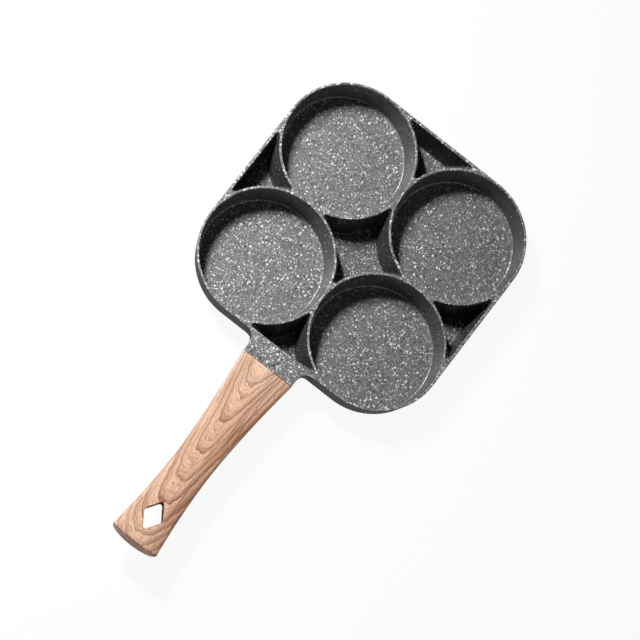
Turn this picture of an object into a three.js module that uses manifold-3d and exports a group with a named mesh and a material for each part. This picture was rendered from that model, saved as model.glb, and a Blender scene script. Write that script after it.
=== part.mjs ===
// Four-cup frying pan: a cast body with a tang, a plate under it, and a moulded grip held by one screw.
// Millimetres, +Z up. The origin is the middle of the underside, and the handle points along -Y.
import * as THREE from 'three';
import { mergeVertices } from 'three/addons/utils/BufferGeometryUtils.js';
import Module from 'manifold-3d';

const wasm = await Module();
wasm.setup();

// Cups
const cupOpening = 93.3; // diameter at the rim
const cupDepth = 21.5;
const cupDraft = 7.5; // degrees
const cupFillet = 1.2; // where the wall meets the floor
const webWidth = 1.7; // rim between two neighbouring cups
const ringWall = 1.8; // rim between a cup and a pocket or the outside
const rimChamfer = 0.5;

// Pockets between the cups
const sideWall = 2.1; // rim between a side pocket and the outside
const pocketDraft = 12; // degrees
const pocketCorner = 1.5;

// Outside of the casting
const baseThickness = 4; // under the cups
const outerDraft = 6.5; // degrees
const baseRound = 5.5;

// Plate let into the underside
const plateDiameter = 150;
const plateThickness = 1;
const plateProud = 0.4; // how far it stands below the casting
const plateHole = 6;
const plateRingPitch = 15; // between the rings of holes
const plateRings = 4;
const holesPerRing = 6; // in the first ring, and added for each ring after it

// Neck, cast with the body, and the tang that goes into the grip
const neckLength = 14;
const neckFillet = 8.5;
const tangLength = 44;
const tangWidth = 22;
const tangThickness = 8;
const tangCover = 2.8; // from the rim down to the tang

// Grip
const gripLength = 154;
const gripFrontWidth = 41;
const gripWaistWidth = 28;
const gripEndWidth = 36.6;
const gripWaistAt = 0.57; // share of the length
const gripFrontThickness = 21;
const gripEndThickness = 14;
const gripEdge = 3; // from the top down to the widest line
const gripRise = 8; // of the top, from the front to the end
const gripEndBow = 1.5;
const gripEndRound = 2;

// Hanging hole in the grip
const hangLong = 24.6; // along the grip
const hangAcross = 15.5;
const hangCorner = 2.5; // length of edge that each rounded corner takes
const hangFromEnd = 23.3;
const hangDraft = 4.2; // degrees, widening downwards

// Screw and its washers, let into the underside of the grip
const screwDiameter = 5;
const screwHead = 9;
const screwHeadHeight = 3.2;
const screwCrown = 0.6; // share of the head's height that is rounded
const screwRecessDepth = 1.8;
const screwRecessWidth = 1.1;
const screwRecessSpan = 5;
const screwFromNeck = 26;
const screwTipCover = 0.7; // of the tang left above the tip
const seatWall = 2; // of the grip between the socket and the washers
const flatWasher = 10;
const flatWasherThickness = 1;
const springWasher = 8.6;
const springWasherThickness = 1.2;
const springWasherSplit = 1;

// Clearances
const fitGap = 0.3; // round the tang, screw, washers and plate
const seatGap = 0.05; // between faces that press on each other

// How finely round stretches are cut
const cupSteps = 48;
const cornerSteps = 10;
const arcSteps = 8;
const tipSteps = 4;
const filletSteps = 4;
const sectionSteps = 32;
const boreSteps = 20;
const holeSteps = 8;

// Powers that shape the grip: the swell from its waist, its rise, and how square its section is
const frontSwell = 1.65;
const endSwell = 1.85;
const riseCurve = 1.6;
const flatTopPower = 10;
const crownedTopPower = 2.8;
const bottomPower = 2.4;
const crownedFrom = 0.35; // share of the length over which the flat top becomes crowned
const bowedFrom = 0.85; // share of the length where the end starts to bow

// Places that follow from the sizes
const cupRadius = cupOpening / 2;
const cupPitch = cupOpening + webWidth;
const cupAt = cupPitch / 2;
const cornerRadius = cupRadius + ringWall;
const halfWidth = cupAt + cornerRadius;
const baseZ = plateProud;
const floorZ = baseZ + baseThickness;
const rimZ = floorZ + cupDepth;
const neckEndY = -(halfWidth + neckLength);
const gripFrontY = neckEndY - fitGap;
const tangTopZ = rimZ - tangCover;
const tangBottomZ = tangTopZ - tangThickness;
const tangEndY = neckEndY - tangLength;
const screwY = neckEndY - screwFromNeck;
const seatZ = tangBottomZ - fitGap - seatWall;
const flatWasherZ = seatZ - seatGap - flatWasherThickness;
const springWasherZ = flatWasherZ - seatGap - springWasherThickness;
const headBearingZ = springWasherZ - seatGap;
const screwReach = tangTopZ - screwTipCover - headBearingZ;
const through = 60; // length of a cutter that passes right through

const slope = (degrees) => Math.tan(THREE.MathUtils.degToRad(degrees));
const mix = THREE.MathUtils.lerp;
const power = (value, exponent) => Math.sign(value) * Math.abs(value) ** exponent;

// A closed solid from a geometry, with its faces turned outwards.
function solidOf(geometry) {
  const bare = geometry.clone();
  bare.deleteAttribute('normal');
  bare.deleteAttribute('uv');
  const merged = mergeVertices(bare);
  const corners = merged.index.array;
  const triangles = [];
  for (let i = 0; i < corners.length; i += 3) {
    const [a, b, c] = corners.slice(i, i + 3);
    if (a !== b && b !== c && c !== a) triangles.push(a, b, c);
  }
  const vertProperties = merged.attributes.position.array;
  const build = (list) =>
    new wasm.Manifold(new wasm.Mesh({ numProp: 3, vertProperties, triVerts: new Uint32Array(list) }));
  const solid = build(triangles);
  return solid.volume() < 0 ? build(triangles.reverse()) : solid;
}

function geometryOf(solid) {
  const mesh = solid.getMesh();
  const geometry = new THREE.BufferGeometry();
  geometry.setAttribute('position', new THREE.BufferAttribute(new Float32Array(mesh.vertProperties), 3));
  geometry.setIndex(new THREE.BufferAttribute(new Uint32Array(mesh.triVerts), 1));
  geometry.computeVertexNormals();
  return geometry;
}

// Joins rings of equal length into a closed body. The height axis is the one that the rings follow.
function loft(rings, heightAxis) {
  const count = rings[0].length;
  const positions = rings.flat().flatMap((p) => [p.x, p.y, p.z]);
  const index = [];
  for (let ring = 0; ring + 1 < rings.length; ring++) {
    for (let i = 0; i < count; i++) {
      const a = ring * count + i;
      const b = ring * count + ((i + 1) % count);
      index.push(a, b, b + count, a, b + count, a + count);
    }
  }
  const flat = (p) => (heightAxis === 'z' ? new THREE.Vector2(p.x, p.y) : new THREE.Vector2(p.x, p.z));
  const last = (rings.length - 1) * count;
  for (const [a, b, c] of THREE.ShapeUtils.triangulateShape(rings[0].map(flat), [])) index.push(a, c, b);
  for (const [a, b, c] of THREE.ShapeUtils.triangulateShape(rings.at(-1).map(flat), [])) {
    index.push(last + a, last + b, last + c);
  }
  const geometry = new THREE.BufferGeometry();
  geometry.setAttribute('position', new THREE.Float32BufferAttribute(positions, 3));
  geometry.setIndex(index);
  return solidOf(geometry);
}

// A body turned round the Z axis from [radius, height] pairs that start and end on the axis.
function turned(profile, steps) {
  const points = profile.map(([radius, height]) => new THREE.Vector2(radius, height));
  return solidOf(new THREE.LatheGeometry(points, steps).rotateX(Math.PI / 2));
}

// An upright cylinder that stands on the given height.
function cylinder(diameter, height, bottomZ, steps) {
  const geometry = new THREE.CylinderGeometry(diameter / 2, diameter / 2, height, steps);
  return solidOf(geometry.rotateX(Math.PI / 2).translate(0, 0, bottomZ + height / 2));
}

// A box between two corners.
function box(low, high) {
  const size = high.map((value, i) => value - low[i]);
  const middle = high.map((value, i) => (value + low[i]) / 2);
  return solidOf(new THREE.BoxGeometry(...size).translate(...middle));
}

// Points along an arc in the plan, both ends included.
function arc(centreX, centreY, radius, from, to, steps) {
  return Array.from({ length: steps + 1 }, (_, i) => {
    const angle = mix(from, to, i / steps);
    return new THREE.Vector2(centreX + radius * Math.cos(angle), centreY + radius * Math.sin(angle));
  });
}

const turn = Math.PI / 2;
const quarterTurned = (points, quarter) =>
  points.map((p) => p.clone().rotateAround(new THREE.Vector2(), quarter * turn));
const atHeight = (points, z) => points.map((p) => new THREE.Vector3(p.x, p.y, z));

// The casting's outside, drawn in by an inset, with its corners concentric with the cups.
function outsideOutline(inset) {
  const corner = arc(cupAt, cupAt, cornerRadius - inset, 0, turn, cornerSteps);
  return [0, 1, 2, 3].flatMap((quarter) => quarterTurned(corner, quarter));
}

function outsideBlock() {
  const draft = THREE.MathUtils.degToRad(outerDraft);
  const roundZ = baseZ + baseRound;
  const roundInset = (rimZ - roundZ) * Math.tan(draft) + baseRound / Math.cos(draft);
  const rings = [];
  for (let step = 0; step <= filletSteps; step++) {
    const angle = mix(-turn, -draft, step / filletSteps);
    const inset = roundInset - baseRound * Math.cos(angle);
    rings.push(atHeight(outsideOutline(inset), roundZ + baseRound * Math.sin(angle)));
  }
  rings.push(atHeight(outsideOutline(rimChamfer * Math.tan(draft)), rimZ - rimChamfer));
  rings.push(atHeight(outsideOutline(rimChamfer), rimZ));
  return loft(rings, 'z');
}

// The four-pointed pocket in the middle: a rounded tip between two cups, then the side of a cup.
function starOutline(inset) {
  const reach = cornerRadius + inset + pocketCorner;
  const tipX = cupAt - Math.sqrt(reach ** 2 - cupAt ** 2);
  const lean = Math.atan2(cupAt, cupAt - tipX);
  const tip = arc(tipX, 0, pocketCorner, -lean, lean, tipSteps);
  const fromAngle = Math.PI + lean;
  const inwards = 1.25 * Math.PI; // from the cup towards the middle of the pan
  const side = arc(cupAt, cupAt, reach - pocketCorner, fromAngle, 2 * inwards - fromAngle, arcSteps);
  const quarter = [...tip, ...side.slice(1, -1)];
  return [0, 1, 2, 3].flatMap((k) => quarterTurned(quarter, k));
}

// The pocket at the middle of the +Y side: a tip between two cups, and two corners along the side wall.
function sidePocketOutline(inset) {
  const reach = cornerRadius + inset + pocketCorner;
  const cornerY = halfWidth - sideWall - inset - pocketCorner;
  const cornerX = cupAt - Math.sqrt(reach ** 2 - (cornerY - cupAt) ** 2);
  const tipY = cupAt + Math.sqrt(reach ** 2 - cupAt ** 2);
  const tipLean = Math.atan2(tipY - cupAt, cupAt);
  const cornerLean = Math.atan2(cornerY - cupAt, cupAt - cornerX);
  const halfTip = arc(0, tipY, pocketCorner, -turn, -tipLean, tipSteps);
  const side = arc(cupAt, cupAt, reach - pocketCorner, Math.PI - tipLean, Math.PI - cornerLean, arcSteps);
  const corner = arc(cornerX, cornerY, pocketCorner, -cornerLean, turn, tipSteps);
  const right = [...halfTip, ...side.slice(1, -1), ...corner];
  const left = right.slice(1).reverse().map((p) => new THREE.Vector2(-p.x, p.y));
  return [...right, ...left];
}

// What a pocket takes out of the casting, from its floor to above the rim.
function pocketCutter(outline, quarter) {
  const ring = (inset, z) => atHeight(quarterTurned(outline(inset), quarter), z);
  return loft([
    ring(cupDepth * slope(pocketDraft), floorZ),
    ring(rimChamfer * slope(pocketDraft), rimZ - rimChamfer),
    ring(-rimChamfer, rimZ),
    ring(-rimChamfer, rimZ + cupDepth),
  ], 'z');
}

// What a cup takes out of the casting.
function cupCutter() {
  const draft = THREE.MathUtils.degToRad(cupDraft);
  const roundZ = floorZ + cupFillet;
  const roundR = cupRadius - (rimZ - roundZ) * Math.tan(draft) - cupFillet / Math.cos(draft);
  const profile = [[0, floorZ]];
  for (let step = 0; step <= filletSteps; step++) {
    const angle = mix(-turn, -draft, step / filletSteps);
    profile.push([roundR + cupFillet * Math.cos(angle), roundZ + cupFillet * Math.sin(angle)]);
  }
  profile.push([cupRadius - rimChamfer * Math.tan(draft), rimZ - rimChamfer]);
  profile.push([cupRadius + rimChamfer, rimZ]);
  profile.push([cupRadius + rimChamfer, rimZ + cupDepth]);
  profile.push([0, rimZ + cupDepth]);
  return turned(profile, cupSteps);
}

// One section across the handle: flat or crowned above its widest line, round below it.
function handleSection(y, half, topZ, thickness, topPower) {
  return Array.from({ length: sectionSteps }, (_, i) => {
    const angle = (i / sectionSteps) * 2 * Math.PI;
    const upper = i <= sectionSteps / 2;
    const exponent = 2 / (upper ? topPower : bottomPower);
    const across = power(Math.cos(angle), exponent);
    const up = power(Math.sin(angle), exponent);
    const height = upper ? gripEdge : thickness - gripEdge;
    return new THREE.Vector3(half * across, y, topZ - gripEdge + height * up);
  });
}

// The neck flares into the side of the casting. Its top is trimmed level with the rim.
function neck() {
  const half = gripFrontWidth / 2;
  const fillet = Math.min(neckFillet, neckLength);
  const sections = [[half + fillet, sideWall + baseRound]];
  for (let step = 0; step <= filletSteps; step++) {
    const angle = (step / filletSteps) * turn;
    sections.push([half + fillet * (1 - Math.sin(angle)), -fillet * (1 - Math.cos(angle))]);
  }
  if (fillet < neckLength) sections.push([half, -neckLength]);
  const topZ = rimZ + rimChamfer / 2;
  const thickness = gripFrontThickness + rimChamfer / 2;
  const rings = sections.map(([width, inwards]) =>
    handleSection(-halfWidth + inwards, width, topZ, thickness, flatTopPower));
  const wide = 2 * halfWidth;
  return loft(rings, 'y').subtract(box([-wide, -wide, rimZ], [wide, wide, rimZ + baseRound]));
}

function panBody() {
  const rootY = neckEndY + neckLength / 2;
  const tang = box([-tangWidth / 2, tangEndY, tangBottomZ], [tangWidth / 2, rootY, tangTopZ]);
  let body = outsideBlock().add(neck()).add(tang);
  for (const x of [-cupAt, cupAt]) {
    for (const y of [-cupAt, cupAt]) body = body.subtract(cupCutter().translate(x, y, 0));
  }
  body = body.subtract(pocketCutter(starOutline, 0));
  for (const quarter of [0, 1, 2, 3]) body = body.subtract(pocketCutter(sidePocketOutline, quarter));
  const recessTopZ = plateThickness + seatGap;
  body = body.subtract(cylinder(plateDiameter + 2 * fitGap, through, recessTopZ - through, cupSteps));
  const screwHole = cylinder(screwDiameter + 2 * fitGap, through, rimZ - through / 2, boreSteps);
  return geometryOf(body.subtract(screwHole.translate(0, screwY, 0)));
}

const circle = (radius, steps, x, y) => arc(x, y, radius, 0, 2 * Math.PI, steps).slice(0, -1);

// The plate has a plain middle and rings of punched holes.
function inductionPlate() {
  const disc = new THREE.Shape(circle(plateDiameter / 2, cupSteps, 0, 0));
  for (let ring = 1; ring <= plateRings; ring++) {
    const count = holesPerRing * ring;
    for (let i = 0; i < count; i++) {
      const angle = (i / count) * 2 * Math.PI;
      const radius = ring * plateRingPitch;
      const hole = circle(plateHole / 2, holeSteps, radius * Math.cos(angle), radius * Math.sin(angle));
      disc.holes.push(new THREE.Path(hole));
    }
  }
  return geometryOf(solidOf(new THREE.ExtrudeGeometry(disc, { depth: plateThickness, bevelEnabled: false })));
}

// Half the grip's width and the height of its top, by share of its length.
function gripHalf(share) {
  const front = Math.max(0, (gripWaistAt - share) / gripWaistAt) ** frontSwell;
  const end = Math.max(0, (share - gripWaistAt) / (1 - gripWaistAt)) ** endSwell;
  const swell = (gripFrontWidth - gripWaistWidth) * front + (gripEndWidth - gripWaistWidth) * end;
  return (gripWaistWidth + swell) / 2;
}
const gripTop = (share) => rimZ + gripRise * share ** riseCurve;

// A section of the grip, drawn in by an inset where its end is rounded, with the end's bow.
function gripSection(share, inset, back) {
  const half = gripHalf(share);
  const thickness = mix(gripFrontThickness, gripEndThickness, share);
  const topPower = mix(flatTopPower, crownedTopPower, Math.min(1, share / crownedFrom));
  const y = gripFrontY - share * (gripLength - gripEndBow) + back;
  const bow = gripEndBow * Math.max(0, (share - bowedFrom) / (1 - bowedFrom));
  const middleZ = gripTop(share) - thickness / 2;
  return handleSection(y, half, gripTop(share), thickness, topPower).map((p) => new THREE.Vector3(
    p.x * (1 - inset / half),
    p.y - bow * (1 - (p.x / half) ** 2),
    middleZ + (p.z - middleZ) * (1 - inset / (thickness / 2)),
  ));
}

// What the hanging hole takes out of the grip: a rounded diamond that widens towards the underside.
function hangingHole() {
  const corners = [[hangAcross / 2, 0], [0, hangLong / 2], [-hangAcross / 2, 0], [0, -hangLong / 2]]
    .map(([x, y]) => new THREE.Vector2(x, y));
  const towards = (a, b) => a.clone().add(b.clone().sub(a).setLength(hangCorner));
  const shape = new THREE.Shape();
  corners.forEach((corner, i) => {
    const start = towards(corner, corners[(i + 3) % 4]);
    const end = towards(corner, corners[(i + 1) % 4]);
    if (i === 0) shape.moveTo(start.x, start.y);
    else shape.lineTo(start.x, start.y);
    shape.quadraticCurveTo(corner.x, corner.y, end.x, end.y);
  });
  const outline = shape.getPoints(tipSteps);
  const middleY = gripFrontY - gripLength + hangFromEnd;
  const topZ = gripTop(1 - hangFromEnd / gripLength);
  const inside = (hangLong * hangAcross) / Math.hypot(hangLong, hangAcross) / 2;
  const ring = (z) => {
    const grow = 1 + ((topZ - z) * slope(hangDraft)) / inside;
    return outline.map((p) => new THREE.Vector3(p.x * grow, middleY + p.y * grow, z));
  };
  return loft([ring(topZ - gripFrontThickness), ring(topZ + gripEdge)], 'z');
}

function handleGrip() {
  const stations = 18;
  const lastShare = 1 - gripEndRound / gripLength;
  const rings = Array.from({ length: stations + 1 }, (_, i) => gripSection(lastShare * (i / stations), 0, 0));
  for (let step = 1; step <= filletSteps; step++) {
    const angle = (step / filletSteps) * turn;
    rings.push(gripSection(1, gripEndRound * (1 - Math.cos(angle)), gripEndRound * (1 - Math.sin(angle))));
  }
  const socketHalf = tangWidth / 2 + fitGap;
  const socket = box(
    [-socketHalf, tangEndY - fitGap, tangBottomZ - fitGap],
    [socketHalf, gripFrontY + neckLength / 2, tangTopZ + fitGap],
  );
  const counterbore = cylinder(flatWasher + 2 * fitGap, through, seatZ - through, boreSteps);
  const screwHole = cylinder(screwDiameter + 2 * fitGap, seatWall + fitGap, seatZ - fitGap / 2, boreSteps);
  const access = counterbore.add(screwHole).translate(0, screwY, 0);
  return geometryOf(loft(rings, 'y').subtract(socket).subtract(access).subtract(hangingHole()));
}

// A pan-head screw with its bearing face at zero, its shank above and a cross recess in its head.
function handleScrew() {
  const shankR = screwDiameter / 2;
  const headR = screwHead / 2;
  const tipChamfer = shankR / 4;
  const crown = screwHeadHeight * screwCrown;
  const profile = [[0, -screwHeadHeight]];
  for (let step = 0; step <= tipSteps; step++) {
    const angle = (step / tipSteps) * turn;
    profile.push([headR - crown * (1 - Math.sin(angle)), crown - screwHeadHeight - crown * Math.cos(angle)]);
  }
  profile.push([headR, 0], [shankR, 0], [shankR, screwReach - tipChamfer]);
  profile.push([shankR - tipChamfer, screwReach], [0, screwReach]);
  const shank = turned(profile, boreSteps);
  const bottom = -screwHeadHeight - screwRecessDepth;
  const top = -screwHeadHeight + screwRecessDepth;
  const long = screwRecessSpan / 2;
  const narrow = screwRecessWidth / 2;
  const slotX = box([-long, -narrow, bottom], [long, narrow, top]);
  const slotY = box([-narrow, -long, bottom], [narrow, long, top]);
  return geometryOf(shank.subtract(slotX.add(slotY)));
}

// The spring washer is cut through at one side.
function springWasherRing() {
  const inner = screwDiameter / 2 + fitGap;
  const outer = springWasher / 2;
  const halfSplit = springWasherSplit / (inner + outer);
  const shape = new THREE.Shape();
  shape.absarc(0, 0, outer, halfSplit, 2 * Math.PI - halfSplit, false);
  shape.absarc(0, 0, inner, 2 * Math.PI - halfSplit, halfSplit, true);
  const options = { depth: springWasherThickness, bevelEnabled: false, curveSegments: boreSteps };
  return geometryOf(solidOf(new THREE.ExtrudeGeometry(shape, options)));
}

function flatWasherRing() {
  const ring = cylinder(flatWasher, flatWasherThickness, 0, boreSteps);
  return geometryOf(ring.subtract(cylinder(screwDiameter + 2 * fitGap, through, -through / 2, boreSteps)));
}

function piece(name, geometry, color, roughness, metalness, z = 0, y = 0) {
  const material = new THREE.MeshStandardMaterial({ color, roughness, metalness });
  const mesh = new THREE.Mesh(geometry, material);
  mesh.name = name;
  mesh.position.set(0, y, z);
  return mesh;
}

const pan = new THREE.Group();
pan.add(
  piece('pan_body', panBody(), '#5d5f61', 0.6, 0.1),
  piece('induction_plate', inductionPlate(), '#b3b4b6', 0.35, 1),
  piece('handle_grip', handleGrip(), '#d9ac8a', 0.5, 0),
  piece('handle_screw', handleScrew(), '#a9abad', 0.3, 1, headBearingZ, screwY),
  piece('spring_washer', springWasherRing(), '#8e9092', 0.4, 1, springWasherZ, screwY),
  piece('flat_washer', flatWasherRing(), '#b0b2b4', 0.35, 1, flatWasherZ, screwY),
);

export default pan;
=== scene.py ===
# Four-cup frying pan: coated casting, wood-grain grip, plate and fasteners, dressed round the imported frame.
from math import atan2, copysign, cos, pi, radians, sin, sqrt, tan

import bmesh
import bpy
from mathutils import Matrix, Vector


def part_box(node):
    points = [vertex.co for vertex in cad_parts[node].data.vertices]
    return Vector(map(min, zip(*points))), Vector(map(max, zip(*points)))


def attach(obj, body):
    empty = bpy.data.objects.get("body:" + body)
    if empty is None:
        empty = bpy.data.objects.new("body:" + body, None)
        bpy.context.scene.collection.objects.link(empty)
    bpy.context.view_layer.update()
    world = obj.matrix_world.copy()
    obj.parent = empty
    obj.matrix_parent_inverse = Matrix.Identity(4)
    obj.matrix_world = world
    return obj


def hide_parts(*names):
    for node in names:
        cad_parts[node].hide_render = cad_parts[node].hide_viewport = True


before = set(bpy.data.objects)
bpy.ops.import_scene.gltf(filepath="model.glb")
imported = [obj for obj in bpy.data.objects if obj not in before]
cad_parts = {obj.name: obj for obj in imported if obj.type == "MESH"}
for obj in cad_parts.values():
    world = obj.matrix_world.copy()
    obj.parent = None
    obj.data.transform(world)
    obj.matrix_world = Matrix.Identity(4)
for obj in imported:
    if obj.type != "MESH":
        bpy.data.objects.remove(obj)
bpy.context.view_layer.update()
print("frame loaded:", ", ".join(sorted(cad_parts)))

mm = 0.001  # pieces are modelled in millimetres and scaled once, when they are dressed


def nodeBox(node):
    low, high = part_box(node)
    return low / mm, high / mm


# camera, fitted to the photograph's outline
camera = {
    "azimuth": -4.0,
    "elevation": 72.75,
    "roll": 42.0,
    "distance": 3386.0,
    "lookAt": (7.96, -60.55, 25.9),
    "lens": 281.25,
    "sensor": 36.0,
}


def makeCamera():
    turn, rise, roll = (radians(camera[key]) for key in ("azimuth", "elevation", "roll"))
    back = Vector((sin(turn) * cos(rise), -cos(turn) * cos(rise), sin(rise)))
    level = (-back).cross(Vector((0, 0, 1))).normalized()
    upright = level.cross(-back)
    right = cos(roll) * level + sin(roll) * upright
    up = cos(roll) * upright - sin(roll) * level
    eye = (Vector(camera["lookAt"]) + back * camera["distance"]) * mm
    lens = bpy.data.cameras.new("camera")
    lens.lens = camera["lens"]
    lens.sensor_width = camera["sensor"]
    lens.clip_end = 200
    viewer = bpy.data.objects.new("camera", lens)
    axes = Matrix((right, up, back)).transposed()
    viewer.matrix_world = Matrix.Translation(eye) @ axes.to_4x4()
    bpy.context.scene.collection.objects.link(viewer)
    bpy.context.scene.camera = viewer


# nodes for materials
def addNode(tree, kind, values=None, **settings):
    made = tree.nodes.new(kind)
    for key, value in settings.items():
        setattr(made, key, value)
    for socket, value in (values or {}).items():
        if isinstance(value, bpy.types.NodeSocket):
            tree.links.new(value, made.inputs[socket])
        else:
            made.inputs[socket].default_value = value
    return made


def newMaterial(name):
    material = bpy.data.materials.new(name)
    material.use_nodes = True
    tree = material.node_tree
    shader = tree.nodes["Principled BSDF"]
    place = tree.nodes.new("ShaderNodeTexCoord").outputs["Object"]
    return material, tree, shader, place


def remap(tree, value, fromLow, fromHigh, toLow, toHigh):
    values = {"Value": value, "From Min": fromLow, "From Max": fromHigh, "To Min": toLow, "To Max": toHigh}
    return addNode(tree, "ShaderNodeMapRange", values).outputs["Result"]


def calculate(tree, operation, first, second):
    return addNode(tree, "ShaderNodeMath", {0: first, 1: second}, operation=operation).outputs[0]


def blendColour(tree, factor, first, second):
    values = {"Factor": factor, 6: first, 7: second}
    return addNode(tree, "ShaderNodeMix", values, data_type="RGBA").outputs[2]


def colourRamp(tree, factor, stops):
    made = addNode(tree, "ShaderNodeValToRGB", {"Fac": factor})
    ramp = made.color_ramp
    while len(ramp.elements) < len(stops):
        ramp.elements.new(0.5)
    for element, (position, colour) in zip(ramp.elements, stops):
        element.position = position
        element.color = (*colour, 1)
    return made.outputs["Color"]


def noise(tree, place, scale, detail=2.0, rough=0.5):
    values = {"Vector": place, "Scale": scale, "Detail": detail, "Roughness": rough}
    return addNode(tree, "ShaderNodeTexNoise", values).outputs["Fac"]


def bump(tree, height, strength, distance):
    values = {"Height": height, "Strength": strength, "Distance": distance}
    return addNode(tree, "ShaderNodeBump", values).outputs["Normal"]


# stone-look coating: pale and black flecks on a grey ground, sprayed from above, and a dark outside
coating = {
    "ground": (0.092, 0.093, 0.095),
    "groundLight": (0.238, 0.239, 0.241),
    "wall": (0.09, 0.091, 0.093),
    "wallLight": (0.112, 0.113, 0.115),
    "outside": (0.02, 0.02, 0.0205),
    "outsideLight": (0.036, 0.036, 0.037),
    "pale": (0.86, 0.86, 0.855),
    "black": (0.012, 0.012, 0.013),
    "flatRoughness": 0.36,
    "wallRoughness": 0.2,
    "outsideRoughness": 0.6,
    "flatGloss": 0.5,
    "wallGloss": 0.22,
    "outsideGloss": 0.1,
    "filletRoughness": 0.21,
    "filletGloss": 0.8,
    "rimFrom": 22.0,  # flecks are largest above this height
    "floorFlecks": 0.8,  # their size on the floors, as a share of that on the rims
    "wallFlecks": 0.42,
    "wallStrays": 0.68,  # size of the few that stick to the walls
    "skin": 0.9,  # how far inside the outline the outside colour reaches
    "pocketShadeWall": 0.5,  # painted shade in the pockets between the cups: share of colour and gloss that their walls keep
    "pocketShadeFloor": 0.78,
    # cells to the metre, smallest and largest fleck in a cell, share of empty cells, faintest fleck
    "large": (420, 0.16, 0.5, 0.6, 0.8),
    "medium": (660, 0.22, 0.54, 0.42, 0.5),
    "small": (1000, 0.3, 0.6, 0.3, 0.1),
    "stray": (420, 0.2, 0.5, 0.89, 0.3),
    "blackFlecks": (400, 0.18, 0.42, 0.66, 0.5),
    "fleckCore": 0.78,  # share of a fleck before it fades
    "smallShare": 0.5,
    "ragged": (1400, 0.5),  # scale, and millimetres that a fleck's edge wanders
    "grain": (800, 3, 0.6),  # scale, detail and roughness of the noise
    "cloud": (70, 3, 0.55),
    "cloudShare": 0.12,
    "mottled": (0.41, 0.73),
    "grainRoughness": 0.06,
    "grainRelief": 0.6,
    "relief": (0.25, 0.1),  # strength and millimetres
}


def flecks(tree, place, sort, reach):
    # one fleck in some of the cells, with its own size and strength, smaller where the spray reaches less
    cells, smallest, largest, rarity, faintest = sort
    cell = addNode(tree, "ShaderNodeTexVoronoi", {"Vector": place, "Scale": cells, "Randomness": 1.0})
    chance = addNode(tree, "ShaderNodeSeparateColor", {"Color": cell.outputs["Color"]})
    size = remap(tree, chance.outputs["Red"], rarity, 1, smallest, largest)
    shown = calculate(tree, "GREATER_THAN", chance.outputs["Red"], rarity)
    size = calculate(tree, "MULTIPLY", calculate(tree, "MULTIPLY", size, shown), reach)
    inner = calculate(tree, "MULTIPLY", size, coating["fleckCore"])
    spot = remap(tree, cell.outputs["Distance"], inner, size, 1, 0)
    return calculate(tree, "MULTIPLY", spot, remap(tree, chance.outputs["Green"], 0, 1, faintest, 1))


def fromCup(tree, x, y, least):
    # distance from the middle of the nearest cup, counting no part of it below least
    squares = []
    for part in (x, y):
        beyond = calculate(tree, "SUBTRACT", calculate(tree, "ABSOLUTE", part, 0), cupAt * mm)
        squares.append(calculate(tree, "POWER", calculate(tree, "MAXIMUM", beyond, least), 2))
    return calculate(tree, "SQRT", calculate(tree, "ADD", *squares), 0)


def inPocket(tree, place):
    x, y, z = addNode(tree, "ShaderNodeSeparateXYZ", {0: place}).outputs
    away = calculate(tree, "GREATER_THAN", fromCup(tree, x, y, -1), (cornerRadius - pan["web"] / 4) * mm)
    return calculate(tree, "MULTIPLY", away, calculate(tree, "LESS_THAN", z, (rimZ - pan["rimRound"]) * mm))


def outsideOf(tree, place, facing):
    # 1 on the outer wall, the neck's sides and the underside, 0 elsewhere
    x, y, z = addNode(tree, "ShaderNodeSeparateXYZ", {0: place}).outputs
    apart = fromCup(tree, x, y, 0)
    below = calculate(tree, "SUBTRACT", rimZ * mm, z)
    drawn = calculate(tree, "MULTIPLY", below, tan(radians(pan["outerDraft"])))
    inside = (cornerRadius - coating["skin"]) * mm
    edge = calculate(tree, "GREATER_THAN", calculate(tree, "ADD", apart, drawn), inside)
    edge = calculate(tree, "MULTIPLY", edge, remap(tree, facing, 0.45, 0.75, 1, 0))
    return calculate(tree, "MAXIMUM", edge, calculate(tree, "LESS_THAN", facing, -0.5))


def inFillet(tree, place, facing):
    height = addNode(tree, "ShaderNodeSeparateXYZ", {0: place}).outputs["Z"]
    low = calculate(tree, "LESS_THAN", height, (floorZ + pan["cupFillet"]) * mm)
    steep = remap(tree, facing, 0.3, 0.5, 0, 1)
    flat = remap(tree, facing, 0.9, 0.97, 1, 0)
    return calculate(tree, "MULTIPLY", low, calculate(tree, "MULTIPLY", steep, flat))


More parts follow.
